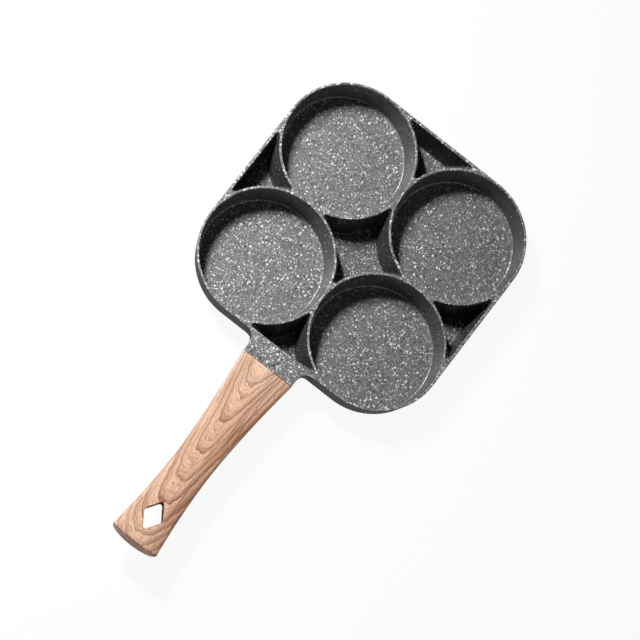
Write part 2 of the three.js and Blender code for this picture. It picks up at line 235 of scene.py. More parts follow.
def stoneCoating():
    material, tree, shader, place = newMaterial("stoneCoating")
    normal = tree.nodes["Texture Coordinate"].outputs["Normal"]
    facing = addNode(tree, "ShaderNodeSeparateXYZ", {0: normal}).outputs["Z"]
    level = remap(tree, facing, 0.25, 0.85, 0, 1)
    outside = outsideOf(tree, place, facing)
    height = addNode(tree, "ShaderNodeSeparateXYZ", {0: place}).outputs["Z"]
    rimFrom = coating["rimFrom"] * mm
    reach = remap(tree, level, 0, 1, coating["wallFlecks"], 1.0)
    lower = remap(tree, height, rimFrom / 2, rimFrom, coating["floorFlecks"], 1.0)
    reach = calculate(tree, "MULTIPLY", reach, lower)
    within = remap(tree, outside, 0, 1, 1, 0)
    reach = calculate(tree, "MULTIPLY", reach, within)
    # painted shade: the walls and floors of the pockets between the cups keep only part of their colour and
    # gloss
    leftByPocketShade = remap(tree, level, 0, 1, coating["pocketShadeWall"], coating["pocketShadeFloor"])
    leftByPocketShade = remap(tree, inPocket(tree, place), 0, 1, 1, leftByPocketShade)
    stuck = calculate(tree, "MULTIPLY", within, remap(tree, level, 0, 1, coating["wallStrays"], 0))
    stuck = calculate(tree, "MULTIPLY", stuck, leftByPocketShade)
    warpScale, wander = coating["ragged"]
    warp = addNode(tree, "ShaderNodeTexNoise", {"Vector": place, "Scale": warpScale, "Detail": 2})
    warp = {0: warp.outputs["Color"], "Scale": wander * mm}
    shifted = addNode(tree, "ShaderNodeVectorMath", warp, operation="SCALE").outputs[0]
    ragged = addNode(tree, "ShaderNodeVectorMath", {0: place, 1: shifted}, operation="ADD").outputs[0]
    large = flecks(tree, ragged, coating["large"], reach)
    medium = flecks(tree, ragged, coating["medium"], reach)
    small = flecks(tree, place, coating["small"], reach)
    stray = flecks(tree, ragged, coating["stray"], stuck)
    black = flecks(tree, ragged, coating["blackFlecks"], reach)
    grain = noise(tree, place, *coating["grain"])
    cloud = noise(tree, place, *coating["cloud"])
    mottled = calculate(tree, "ADD", grain, calculate(tree, "MULTIPLY", cloud, coating["cloudShare"]))
    mottled = remap(tree, mottled, *coating["mottled"], 0, 1)
    tones = {}
    for name in ("ground", "wall", "outside"):
        tones[name] = blendColour(tree, mottled, (*coating[name], 1), (*coating[name + "Light"], 1))
    colour = blendColour(tree, level, tones["wall"], tones["ground"])
    # painted shade in the pockets, towards black
    colour = blendColour(tree, leftByPocketShade, (0, 0, 0, 1), colour)
    colour = blendColour(tree, outside, colour, tones["outside"])
    small = calculate(tree, "MULTIPLY", small, coating["smallShare"])
    for spots in (small, medium, large, stray):
        colour = blendColour(tree, spots, colour, (*coating["pale"], 1))
    colour = blendColour(tree, black, colour, (*coating["black"], 1))
    tree.links.new(colour, shader.inputs["Base Color"])
    rough = remap(tree, level, 0, 1, coating["wallRoughness"], coating["flatRoughness"])
    uneven = coating["grainRoughness"]
    rough = calculate(tree, "ADD", rough, remap(tree, grain, 0.3, 0.7, -uneven, uneven))
    fillet = inFillet(tree, place, facing)
    rough = remap(tree, fillet, 0, 1, rough, coating["filletRoughness"])
    rough = remap(tree, outside, 0, 1, rough, coating["outsideRoughness"])
    tree.links.new(rough, shader.inputs["Roughness"])
    gloss = remap(tree, level, 0, 1, coating["wallGloss"], coating["flatGloss"])
    gloss = remap(tree, fillet, 0, 1, gloss, coating["filletGloss"])
    gloss = calculate(tree, "MULTIPLY", gloss, leftByPocketShade)
    gloss = remap(tree, outside, 0, 1, gloss, coating["outsideGloss"])
    tree.links.new(gloss, shader.inputs["Specular IOR Level"])
    shader.inputs["IOR"].default_value = 1.5
    raised = calculate(tree, "ADD", large, medium)
    raised = calculate(tree, "ADD", raised, calculate(tree, "MULTIPLY", grain, coating["grainRelief"]))
    raised = calculate(tree, "MULTIPLY", raised, remap(tree, level, 0, 1, 0.2, 1.0))
    strength, deep = coating["relief"]
    tree.links.new(bump(tree, raised, strength, deep * mm), shader.inputs["Normal"])
    return material


# wood-grain print: nested arches along the top, their arms running back along the sides and underneath
wood = {
    "axisFront": -3.4,  # the arches' middle line, across from the grip's own
    "axisEnd": -0.2,
    "archEnds": (0, 21, 51, 75, 117, 145, 165),  # places along the grip for the next two rows
    "archRound": (2.6, 3.0, 4.0, 5.0, 8.0, 10.0, 11.0),  # half width of the end of an arch that ends there
    "archGain": (2.4, 2.8, 5.5, 7.8, 7.0, 3.0, 2.2),  # length it gains for each millimetre of width
    "archSteps": 4,
    "firstHalf": 4.0,  # half width and gain that the search for an arch starts from
    "firstGain": 4.0,
    "ringEnds": (0, 20, 31, 51, 75, 87, 101, 118, 137, 146, 155, 165, 178, 190, 204, 219, 238, 260),
    "fineSpacing": 3.1,
    "wobble": 3.0,
    "wobbleScale": 24,
    "ripple": 1.8,
    "rippleScale": 230,
    "calmFrom": (105, 140),  # wobble and ripple die down over this stretch
    "calmEnd": 0.45,
    "paleFront": 45.0,  # the grip is palest at the neck, and its painted shade is at full strength from here on
    "paleEnd": (125, 145),  # and the painted shade fades again over this stretch
    "flank": 0.8,  # how fast the print moves aside down the flanks
    "strokes": (0.22, 0.75, 0.22),  # stretch of each noise across, along and down
    "streaks": (0.9, 0.03, 0.9),
    "pores": (1.9, 0.7, 1.9),
    "patches": (0.12, 0.03, 0.12),
    "pale": (0.89, 0.59, 0.422),
    "tan": (0.70, 0.42, 0.28),
    "brown": (0.40, 0.20, 0.12),
    "line": (0.25, 0.09, 0.035),
    "shine": (0.92, 0.645, 0.48),
    "bare": (0.46, 0.225, 0.165),
    "holeShade": (0.2, 0.065, 0.034),
    "holeHalf": 9.0,
    "roughness": (0.4, 0.56),
    "gloss": 0.25,
    "relief": (0.3, 0.2),  # strength and millimetres
}


def gripPlaces(tree, place):
    # in millimetres: across from the arches' middle line, along from the neck, and down from the top
    scaled = addNode(tree, "ShaderNodeVectorMath", {0: place, "Scale": 1 / mm}, operation="SCALE")
    x, y, z = addNode(tree, "ShaderNodeSeparateXYZ", {0: scaled.outputs[0]}).outputs
    along = calculate(tree, "SUBTRACT", gripHigh.y, y)
    share = remap(tree, along, 0, gripHigh.y - gripLow.y, 0, 1)
    risen = calculate(tree, "MULTIPLY", calculate(tree, "POWER", share, grip["riseCurve"]), grip["rise"])
    top = calculate(tree, "ADD", risen, rimZ)
    depth = calculate(tree, "MAXIMUM", calculate(tree, "SUBTRACT", top, z), 0)
    across = calculate(tree, "SUBTRACT", x, remap(tree, share, 0, 1, wood["axisFront"], wood["axisEnd"]))
    return across, along, depth


def stretched(tree, places, scales):
    parts = [calculate(tree, "MULTIPLY", part, scale) for part, scale in zip(places, scales)]
    return addNode(tree, "ShaderNodeCombineXYZ", dict(enumerate(parts))).outputs[0]


def lookUp(tree, value, places, results):
    # straight lines between the places
    top = max(results)
    stops = [(at / places[-1], (result / top,) * 3) for at, result in zip(places, results)]
    found = colourRamp(tree, calculate(tree, "DIVIDE", value, places[-1]), stops)
    return calculate(tree, "MULTIPLY", found, top)


def archPhase(tree, place, side, along):
    # where on the middle line the arch through this point has its end, closed in on by halves
    side4 = calculate(tree, "POWER", side, 4)
    wider = calculate(tree, "MAXIMUM", calculate(tree, "SUBTRACT", side, wood["firstHalf"]), 0)
    phase = calculate(tree, "ADD", along, calculate(tree, "MULTIPLY", wider, wood["firstGain"]))
    for _ in range(wood["archSteps"]):
        half = lookUp(tree, phase, wood["archEnds"], wood["archRound"])
        gain = lookUp(tree, phase, wood["archEnds"], wood["archGain"])
        bent = calculate(tree, "ADD", side4, calculate(tree, "POWER", half, 4))
        bent = calculate(tree, "SUBTRACT", calculate(tree, "POWER", bent, 0.25), half)
        found = calculate(tree, "ADD", along, calculate(tree, "MULTIPLY", bent, gain))
        phase = calculate(tree, "MULTIPLY", calculate(tree, "ADD", phase, found), 0.5)
    drift = noise(tree, place, wood["wobbleScale"], 1)
    drift = remap(tree, drift, 0.3, 0.7, -wood["wobble"], wood["wobble"])
    ripple = noise(tree, place, wood["rippleScale"], 2)
    ripple = remap(tree, ripple, 0.3, 0.7, -wood["ripple"], wood["ripple"])
    shifts = calculate(tree, "ADD", drift, ripple)
    calm = remap(tree, phase, *wood["calmFrom"], 1, wood["calmEnd"])
    shifts = calculate(tree, "MULTIPLY", shifts, calm)
    return calculate(tree, "ADD", phase, shifts)


def ringLines(tree, ring, side, faintest):
    # each ring darkens towards its end, in a thin line where it turns and more broadly along its arms
    index = calculate(tree, "FLOOR", ring, 0)
    chance = addNode(tree, "ShaderNodeTexWhiteNoise", {"W": index}, noise_dimensions="1D")
    sharpness = remap(tree, side, 3, 10, 4, 1.4)
    shade = calculate(tree, "POWER", calculate(tree, "FRACT", ring, 0), sharpness)
    return calculate(tree, "MULTIPLY", shade, remap(tree, chance.outputs["Value"], 0, 1, faintest, 1.0))


def bareMoulding(tree, place):
    # shares of the hanging hole's wall and of the end face, which the print doesn't cover; the hole's wall
    # also gets a dark painted shade
    facing = tree.nodes["Texture Coordinate"].outputs["Normal"]
    _, endwards, upright = addNode(tree, "ShaderNodeSeparateXYZ", {0: facing}).outputs
    x, y, _ = addNode(tree, "ShaderNodeSeparateXYZ", {0: place}).outputs
    holeShadeShare = calculate(tree, "LESS_THAN", calculate(tree, "ABSOLUTE", x, 0), wood["holeHalf"] * mm)
    beforeEnd = calculate(tree, "GREATER_THAN", y, (gripLow.y + grip["holeFromEnd"] / 4) * mm)
    holeShadeShare = calculate(tree, "MULTIPLY", holeShadeShare, beforeEnd)
    steep = remap(tree, calculate(tree, "ABSOLUTE", upright, 0), 0.5, 0.7, 1, 0)
    endFace = remap(tree, endwards, -0.55, -0.8, 0, 1)
    return calculate(tree, "MULTIPLY", holeShadeShare, steep), endFace


def woodGrain():
    material, tree, shader, place = newMaterial("woodGrain")
    places = gripPlaces(tree, place)
    across, along, depth = places
    side = calculate(tree, "MULTIPLY", depth, wood["flank"])
    side = calculate(tree, "ADD", side, calculate(tree, "ABSOLUTE", across, 0))
    phase = archPhase(tree, place, side, along)
    ring = lookUp(tree, phase, wood["ringEnds"], range(len(wood["ringEnds"])))
    rings = ringLines(tree, ring, side, 0.5)
    fine = ringLines(tree, calculate(tree, "DIVIDE", phase, wood["fineSpacing"]), side, 0.0)
    strokes = noise(tree, stretched(tree, (across, phase, depth), wood["strokes"]), 1.0, 3, 0.6)
    streaks = noise(tree, stretched(tree, places, wood["streaks"]), 1.0, 3, 0.6)
    pores = noise(tree, stretched(tree, places, wood["pores"]), 1.0, 2, 0.5)
    patches = noise(tree, stretched(tree, places, wood["patches"]), 1.0, 2, 0.5)
    darker = remap(tree, patches, 0.35, 0.68, 0, 1)
    darker = calculate(tree, "MULTIPLY", darker, remap(tree, along, 88, 112, 1, 0.2))
    colour = blendColour(tree, darker, (*wood["pale"], 1), (*wood["tan"], 1))
    front = remap(tree, along, 0, wood["paleFront"], 0, 1)
    paintedShade = remap(tree, across, 3, 14, 0, 0.6)  # painted shade in the print's brown: darker towards the right-hand edge, the side away from the lamp, and slightly darker from 80 mm along
    paintedShade = calculate(tree, "ADD", paintedShade, remap(tree, along, 80, 110, 0, 0.12))
    paintedShade = calculate(tree, "MULTIPLY", paintedShade, remap(tree, front, 0, 1, 0.2, 1))
    paintedShade = calculate(tree, "MULTIPLY", paintedShade, remap(tree, along, *wood["paleEnd"], 1, 0.25))
    paintedShade = calculate(tree, "MULTIPLY", paintedShade, remap(tree, streaks, 0.35, 0.6, 0.3, 1))
    stripes = remap(tree, streaks, 0.5, 0.64, 0, 1)
    stripes = calculate(tree, "MULTIPLY", stripes, remap(tree, across, 1, 9, 0.32, 0.9))
    stripes = calculate(tree, "MULTIPLY", stripes, remap(tree, along, *wood["paleEnd"], 1, 0.5))
    stripes = calculate(tree, "MULTIPLY", stripes, remap(tree, front, 0, 1, 0.3, 1))
    bold = calculate(tree, "MULTIPLY", rings, remap(tree, across, -12, 6, 0.75, 1.0))
    layers = (
        (remap(tree, front, 0, 1, 0.9, 0), "shine"),
        (paintedShade, "brown"),
        (remap(tree, strokes, 0.48, 0.34, 0, 0.9), "shine"),
        (remap(tree, strokes, 0.53, 0.66, 0, 0.85), "brown"),
        (stripes, "brown"),
        (calculate(tree, "MULTIPLY", fine, 0.4), "line"),
        (bold, "line"),
        (remap(tree, pores, 0.57, 0.68, 0, 0.6), "line"),
    )
    for share, name in layers:
        colour = blendColour(tree, share, colour, (*wood[name], 1))
    holeShadeShare, endFace = bareMoulding(tree, place)
    uneven = remap(tree, streaks, 0.3, 0.7, 0.75, 0.95)
    # the end face shows bare moulding; the hole's wall is bare moulding painted dark as shade
    for share, name in ((calculate(tree, "MULTIPLY", endFace, uneven), "bare"), (holeShadeShare, "holeShade")):
        colour = blendColour(tree, share, colour, (*wood[name], 1))
    tree.links.new(colour, shader.inputs["Base Color"])
    tree.links.new(remap(tree, streaks, 0.3, 0.7, *wood["roughness"]), shader.inputs["Roughness"])
    shader.inputs["IOR"].default_value = 1.45
    tree.links.new(remap(tree, holeShadeShare, 0, 1, wood["gloss"], 0), shader.inputs["Specular IOR Level"])
    height = calculate(tree, "SUBTRACT", calculate(tree, "MULTIPLY", strokes, -1.0), rings)
    strength, deep = wood["relief"]
    tree.links.new(bump(tree, height, strength, deep * mm), shader.inputs["Normal"])
    return material


# rolled stainless sheet and zinc-plated steel
steel = {
    "rolledSheet": {
        "dark": (0.42, 0.42, 0.43),
        "light": (0.58, 0.58, 0.59),
        "stretch": (1, 0.05, 1),
        "roughness": (0.28, 0.42),
    },
    "zincPlate": {
        "dark": (0.40, 0.405, 0.41),
        "light": (0.55, 0.555, 0.565),
        "stretch": (1, 1, 1),
        "roughness": (0.25, 0.4),
    },
    "lines": (900, 4, 0.6),  # scale, detail and roughness of the noise
    "stain": (45, 3, 0.6),
    "relief": (0.15, 0.05),  # strength and millimetres
}


def brushedSteel(name):
    finish = steel[name]
    material, tree, shader, place = newMaterial(name)
    drawn = addNode(tree, "ShaderNodeMapping", {"Vector": place, "Scale": finish["stretch"]}).outputs[0]
    lines = noise(tree, drawn, *steel["lines"])
    stain = noise(tree, place, *steel["stain"])
    share = remap(tree, calculate(tree, "ADD", lines, stain), 0.7, 1.3, 0, 1)
    colour = blendColour(tree, share, (*finish["dark"], 1), (*finish["light"], 1))
    tree.links.new(colour, shader.inputs["Base Color"])
    tree.links.new(remap(tree, lines, 0.3, 0.7, *finish["roughness"]), shader.inputs["Roughness"])
    shader.inputs["Metallic"].default_value = 1.0
    strength, deep = steel["relief"]
    tree.links.new(bump(tree, lines, strength, deep * mm), shader.inputs["Normal"])
    return material


# making and joining meshes
def newObject(name, bm):
    mesh = bpy.data.meshes.new(name)
    bm.to_mesh(mesh)
    bm.free()
    made = bpy.data.objects.new(name, mesh)
    bpy.context.scene.collection.objects.link(made)
    return made


def combine(piece, other, operation):
    # one Boolean, baked into the piece; the other object is used up
    step = piece.modifiers.new("combine", "BOOLEAN")
    step.operation = operation
    step.solver = "EXACT"
    step.object = other
    graph = bpy.context.evaluated_depsgraph_get()
    baked = bpy.data.meshes.new_from_object(piece.evaluated_get(graph))
    piece.modifiers.clear()
    piece.data = baked
    bpy.data.objects.remove(other)


def roundEdges(bm, edges, offset, segments):
    bmesh.ops.bevel(bm, geom=edges, offset=offset, offset_type="OFFSET", segments=segments, profile=0.5,
                    affect="EDGES", clamp_overlap=False, material=-1)


def roundCorners(bm, verts, offset, segments):
    bmesh.ops.bevel(bm, geom=verts, offset=offset, offset_type="OFFSET", segments=segments, profile=0.5,
                    affect="VERTICES", clamp_overlap=False, material=-1)


def cleaned(bm):
    bmesh.ops.remove_doubles(bm, verts=bm.verts, dist=0.001)
    bmesh.ops.dissolve_degenerate(bm, edges=bm.edges, dist=0.001)
    bmesh.ops.recalc_face_normals(bm, faces=bm.faces)
    return bm


def closeEnds(bm):
    bmesh.ops.holes_fill(bm, edges=[edge for edge in bm.edges if edge.is_boundary], sides=0)


def edgesAt(bm, z):
    return [edge for edge in bm.edges if all(abs(vert.co.z - z) < 0.001 for vert in edge.verts)]


def cylinder(bm, diameter, low, high, x=0.0, y=0.0, segments=64, topDiameter=None):
    middle = Matrix.Translation((x, y, (low + high) / 2))
    above = (topDiameter or diameter) / 2
    bmesh.ops.create_cone(bm, cap_ends=True, cap_tris=False, segments=segments, radius1=diameter / 2,
                          radius2=above, depth=high - low, matrix=middle)


def block(bm, low, high):
    low, high = Vector(low), Vector(high)
    place = Matrix.Translation((low + high) / 2) @ Matrix.Diagonal((*(high - low), 1))
    bmesh.ops.create_cube(bm, size=1, matrix=place)


def dress(piece, node, material, crisp):
    # to metres, smooth with crisp edges, then onto the frame
    mesh = piece.data
    mesh.transform(Matrix.Scale(mm, 4))
    mesh.materials.clear()
    mesh.materials.append(material)
    mesh.shade_smooth()
    mesh.set_sharp_from_angle(angle=radians(crisp))
    shading = piece.modifiers.new("evenShading", "WEIGHTED_NORMAL")
    shading.keep_sharp = True
    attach(piece, "root")
    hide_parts(node)
    print("made", piece.name, len(mesh.polygons), "faces")


# handle sections, shared by the neck and the grip
handle = {
    "edge": 3.0,  # from the top down to the widest line
    "flatTop": 10.0,
    "crownedTop": 2.8,
    "bottom": 2.4,
    "segments": 96,
}


def shapeRing(verts, turn, y, half, topZ, edge, thickness, topPower):
    for vert in verts:
        across, up = cos(vert[turn]), sin(vert[turn])
        power = 2 / (topPower if up >= 0 else handle["bottom"])
        height = edge if up >= 0 else thickness - edge
        vert.co.x = half * copysign(abs(across) ** power, across)
        vert.co.y = y
        vert.co.z = topZ - edge + height * copysign(abs(up) ** power, up)


def carryRings(count, shape):
    # a ring of points carried along the handle; shape places the points of each ring
    bm = bmesh.new()
    turn = bm.verts.layers.float.new("turn")
    bmesh.ops.create_circle(bm, cap_ends=False, segments=handle["segments"], radius=1)
    for vert in bm.verts:
        vert[turn] = atan2(vert.co.y, vert.co.x)
    ring = bm.edges[:]
    shape(bm.verts[:], turn, 0)
    for step in range(1, count):
        grown = bmesh.ops.extrude_edge_only(bm, edges=ring)["geom"]
        ring = [part for part in grown if isinstance(part, bmesh.types.BMEdge) and part.is_boundary]
        shape([part for part in grown if isinstance(part, bmesh.types.BMVert)], turn, step)
    closeEnds(bm)
    bmesh.ops.recalc_face_normals(bm, faces=bm.faces)
    return bm


# cast body
pan = {
    "cupOpening": 93.3,
    "web": 1.7,
    "cupDepth": 21.5,
    "cupDraft": 7.5,
    "cupFillet": 1.2,
    "sideWall": 2.1,
    "pocketDraft": 12.0,
    "pocketCorner": 1.5,
    "pocketFillet": 1.0,
    "outerDraft": 6.5,
    "baseRound": 5.5,
    "rimRound": 0.6,
    "neckFillet": 8.5,
    "neckBite": 0.15,  # the neck's flare starts this far inside the wall
    "tangWidth": 22.0,
    "tangThickness": 8.0,
    "tangCover": 2.8,
    "tangRoot": 7.0,  # the tang and its socket are carried this far past the joint
    "tangRound": 0.6,
    "plateRoom": 0.3,
    "plateGap": 0.05,
    "jointGap": 0.3,
    "screwHole": 5.6,
    "lift": 4.0,  # walls are carried this far above the rim, then trimmed
    "cutPast": 5.0,  # cutters run this far past what they cut
}
panLow, panHigh = nodeBox("pan_body")
gripLow, gripHigh = nodeBox("handle_grip")
plateLow, plateHigh = nodeBox("induction_plate")
screwLow, screwHigh = nodeBox("handle_screw")
washerLow, washerHigh = nodeBox("flat_washer")
springLow, springHigh = nodeBox("spring_washer")
rimZ = panHigh.z
floorZ = rimZ - pan["cupDepth"]
halfWidth = panHigh.x
cupAt = (pan["cupOpening"] + pan["web"]) / 2
cornerRadius = halfWidth - cupAt
neckEndY = gripHigh.y + pan["jointGap"]
screwY = (screwLow.y + screwHigh.y) / 2


def panBlock():
    slope = tan(radians(pan["outerDraft"]))
    above = pan["lift"] * slope
    bm = bmesh.new()
    bmesh.ops.create_grid(bm, x_segments=1, y_segments=1, size=halfWidth + above)
    roundCorners(bm, bm.verts[:], cornerRadius + above, 32)
    bmesh.ops.translate(bm, verts=bm.verts, vec=(0, 0, rimZ + pan["lift"]))
    base = bm.faces[:][0]
    bmesh.ops.reverse_faces(bm, faces=[base])
    tall = rimZ + pan["lift"] - panLow.z
    bmesh.ops.inset_region(bm, faces=[base], thickness=tall * slope, depth=tall, use_even_offset=True,
                           use_boundary=True)
    tangent = pan["baseRound"] / tan(radians(90 + pan["outerDraft"]) / 2)
    roundEdges(bm, list(base.edges), tangent, 8)
    closeEnds(bm)
    return newObject("panCasting", cleaned(bm))


def neckPiece():
    half = (gripHigh.x - gripLow.x) / 2
    fillet = pan["neckFillet"]
    wallY = -halfWidth + pan["neckBite"]
    steps = 12
    stations = [(half + fillet, wallY + pan["sideWall"] + pan["baseRound"])]
    for step in range(steps + 1):
        angle = pi / 2 * step / steps
        stations.append((half + fillet * (1 - sin(angle)), wallY - fillet * (1 - cos(angle))))
    stations.append((half, neckEndY))
    thickness = pan["lift"] + grip["frontThickness"]
    edge = pan["lift"] + handle["edge"]

    def shape(verts, turn, step):
        width, y = stations[step]
        shapeRing(verts, turn, y, width, rimZ + pan["lift"], edge, thickness, handle["flatTop"])

    return newObject("neck", carryRings(len(stations), shape))


def tangPiece():
    bm = bmesh.new()
    topZ = rimZ - pan["tangCover"]
    half = pan["tangWidth"] / 2
    block(bm, (-half, panLow.y, topZ - pan["tangThickness"]), (half, neckEndY + pan["tangRoot"], topZ))
    free = [edge for edge in bm.edges if min(vert.co.y for vert in edge.verts) < neckEndY]
    roundEdges(bm, free, pan["tangRound"], 3)
    return newObject("tang", cleaned(bm))


def cupCutters(bm):
    slope = tan(radians(pan["cupDraft"]))
    radius = pan["cupOpening"] / 2
    tangent = pan["cupFillet"] / tan(radians(90 + pan["cupDraft"]) / 2)
    for x in (-cupAt, cupAt):
        for y in (-cupAt, cupAt):
            cylinder(bm, 2 * (radius - pan["cupDepth"] * slope), floorZ, rimZ + pan["lift"], x, y, 144,
                     2 * (radius + pan["lift"] * slope))
    roundEdges(bm, edgesAt(bm, floorZ), tangent, 8)


def sweepArcs(bm, arcs, z):
    # arcs of (middle x, middle y, radius, first angle, sweep, steps), joined by straight edges
    ends = []
    for midX, midY, radius, start, sweep, steps in arcs:
        first = bm.verts.new((midX + radius * cos(start), midY + radius * sin(start), z))
        spun = bmesh.ops.spin(bm, geom=[first], cent=(midX, midY, z), axis=(0, 0, 1), angle=sweep,
                              steps=steps)
        ends.append((first, spun["geom_last"][0]))
    for (_, last), (first, _) in zip(ends, ends[1:] + ends[:1]):
        bm.edges.new((last, first))


def starArcs(inset):
    tip = pan["pocketCorner"]
    reach = cornerRadius + inset + tip
    tipX = cupAt - sqrt(reach ** 2 - cupAt ** 2)
    lean = atan2(cupAt, cupAt - tipX)
    arcs = []
    for quarter in range(4):
        turn = Matrix.Rotation(quarter * pi / 2, 2)
        tipAt = turn @ Vector((tipX, 0))
        cup = turn @ Vector((cupAt, cupAt))
        arcs.append((*tipAt, tip, quarter * pi / 2 - lean, 2 * lean, 6))
        arcs.append((*cup, reach - tip, quarter * pi / 2 + pi + lean, pi / 2 - 2 * lean, 20))
    return arcs


def sideArcs(inset):
    tip = pan["pocketCorner"]
    reach = cornerRadius + inset + tip
    cornerY = halfWidth - pan["sideWall"] - inset - tip
    cornerX = cupAt - sqrt(reach ** 2 - (cornerY - cupAt) ** 2)
    tipY = cupAt + sqrt(reach ** 2 - cupAt ** 2)
    tipLean = atan2(tipY - cupAt, cupAt)
    cornerLean = atan2(cornerY - cupAt, cupAt - cornerX)
    return [
        (0, tipY, tip, tipLean - pi, pi - 2 * tipLean, 8),
        (cupAt, cupAt, reach - tip, pi - tipLean, tipLean - cornerLean, 20),
        (cornerX, cornerY, tip, -cornerLean, pi / 2 + cornerLean, 6),
        (-cornerX, cornerY, tip, pi / 2, pi / 2 + cornerLean, 6),
        (-cupAt, cupAt, reach - tip, cornerLean, tipLean - cornerLean, 20),
    ]


def pocketCutter(arcsAt):
    slope = tan(radians(pan["pocketDraft"]))
    bm = bmesh.new()
    levels = (floorZ, rimZ, rimZ + pan["lift"])
    insets = (pan["cupDepth"] * slope, 0.0, 0.0)
    for z, inset in zip(levels, insets):
        sweepArcs(bm, arcsAt(inset), z)
    bmesh.ops.remove_doubles(bm, verts=bm.verts, dist=0.01)
    for low, high in zip(levels, levels[1:]):
        bmesh.ops.bridge_loops(bm, edges=edgesAt(bm, low) + edgesAt(bm, high))
    closeEnds(bm)
    bmesh.ops.recalc_face_normals(bm, faces=bm.faces)
    roundEdges(bm, edgesAt(bm, floorZ), pan["pocketFillet"], 4)
    return bm


def addTurned(bm, other, quarter):
    # a copy of another bmesh, turned by quarters round the pan's middle
    loose = bpy.data.meshes.new("loose")
    other.to_mesh(loose)
    loose.transform(Matrix.Rotation(quarter * pi / 2, 4, "Z"))
    bm.from_mesh(loose)
    bpy.data.meshes.remove(loose)


def openings():
    bm = bmesh.new()
    cupCutters(bm)
    star = pocketCutter(starArcs)
    addTurned(bm, star, 0)
    side = pocketCutter(sideArcs)
    for quarter in range(4):
        addTurned(bm, side, quarter)
    star.free()
    side.free()
    return newObject("openings", cleaned(bm))


def undersideCuts():
    bm = bmesh.new()
    recess = plateHigh.x - plateLow.x + 2 * pan["plateRoom"]
    cylinder(bm, recess, -pan["cutPast"], plateHigh.z + pan["plateGap"], segments=144)
    cylinder(bm, pan["screwHole"], floorZ, rimZ + pan["cutPast"], 0, screwY)
    return newObject("undersideCuts", cleaned(bm))


def trimAtRim(piece):
    bm = bmesh.new()
    bm.from_mesh(piece.data)
    everything = bm.verts[:] + bm.edges[:] + bm.faces[:]
    bmesh.ops.bisect_plane(bm, geom=everything, dist=0.0001, plane_co=(0, 0, rimZ), plane_no=(0, 0, 1),
                           clear_outer=True)
    closeEnds(bm)
    cleaned(bm).to_mesh(piece.data)
    bm.free()


def roundRim(piece):
    bm = bmesh.new()
    bm.from_mesh(piece.data)
    cleaned(bm)
    atJoint = neckEndY + 0.01
    rim = [edge for edge in edgesAt(bm, rimZ) if edge.calc_face_angle(0) > radians(45)]
    rim = [edge for edge in rim if max(vert.co.y for vert in edge.verts) > atJoint]
    roundEdges(bm, rim, pan["rimRound"], 4)
    cleaned(bm).to_mesh(piece.data)
    bm.free()


def panBody(material):
    body = panBlock()
    combine(body, neckPiece(), "UNION")
    trimAtRim(body)
    combine(body, openings(), "DIFFERENCE")
    roundRim(body)
    combine(body, tangPiece(), "UNION")
    combine(body, undersideCuts(), "DIFFERENCE")
    dress(body, "pan_body", material, 35)
    return body


# moulded grip
grip = {
    "frontWidth": 41.0,
    "waistWidth": 28.0,
    "endWidth": 36.6,
    "waistAt": 0.57,
    "frontSwell": 1.65,
    "endSwell": 1.85,
    "frontThickness": 21.0,
    "endThickness": 14.0,
    "rise": 8.0,
    "riseCurve": 1.6,
    "crownedFrom": 0.35,
    "bowedFrom": 0.85,
    "endBow": 1.5,
    "endRound": 2.0,
    "stations": 64,
    "roundSteps": 8,
    "holeLong": 24.6,
    "holeAcross": 15.5,
    "holeCorner": 2.5,
    "holeFromEnd": 23.3,
    "holeDraft": 4.2,
    "holeLip": 0.5,
    "lipSteps": 5,
    "lipProud": 0.03,
    "holeBelow": 24.0,  # the hole's cutter reaches this far under the top, and this far over it
    "holeAbove": 6.0,
    "socketRoom": 0.3,
    "seatWall": 2.0,
    "boreBelow": 40.0,
    "boreOverlap": 1.0,
}


def gripHalf(share):
    front = max(0, (grip["waistAt"] - share) / grip["waistAt"]) ** grip["frontSwell"]
    end = max(0, (share - grip["waistAt"]) / (1 - grip["waistAt"])) ** grip["endSwell"]
    waist = grip["waistWidth"]
    swell = (grip["frontWidth"] - waist) * front + (grip["endWidth"] - waist) * end
    return (waist + swell) / 2


def gripTop(share):
    return rimZ + grip["rise"] * share ** grip["riseCurve"]


def gripBlank():
    length = gripHigh.y - gripLow.y
    lastShare = 1 - grip["endRound"] / length
    stations = [(lastShare * step / grip["stations"], 0.0, 0.0) for step in range(grip["stations"] + 1)]
    for step in range(1, grip["roundSteps"] + 1):
        angle = pi / 2 * step / grip["roundSteps"]
        stations.append((1.0, grip["endRound"] * (1 - cos(angle)), grip["endRound"] * (1 - sin(angle))))

    def shape(verts, turn, step):
        share, inset, back = stations[step]
        half = gripHalf(share)
        thickness = grip["frontThickness"] + (grip["endThickness"] - grip["frontThickness"]) * share
        crowned = min(1, share / grip["crownedFrom"])
        topPower = handle["flatTop"] + (handle["crownedTop"] - handle["flatTop"]) * crowned
        y = gripHigh.y - share * (length - grip["endBow"]) + back
        shapeRing(verts, turn, y, half, gripTop(share), handle["edge"], thickness, topPower)
        bow = grip["endBow"] * max(0, (share - grip["bowedFrom"]) / (1 - grip["bowedFrom"]))
        middleZ = gripTop(share) - thickness / 2
        for vert in verts:
            vert.co.y -= bow * (1 - (vert.co.x / half) ** 2)
            vert.co.x *= 1 - inset / half
            vert.co.z = middleZ + (vert.co.z - middleZ) * (1 - 2 * inset / thickness)

    return newObject("gripMoulding", carryRings(len(stations), shape))


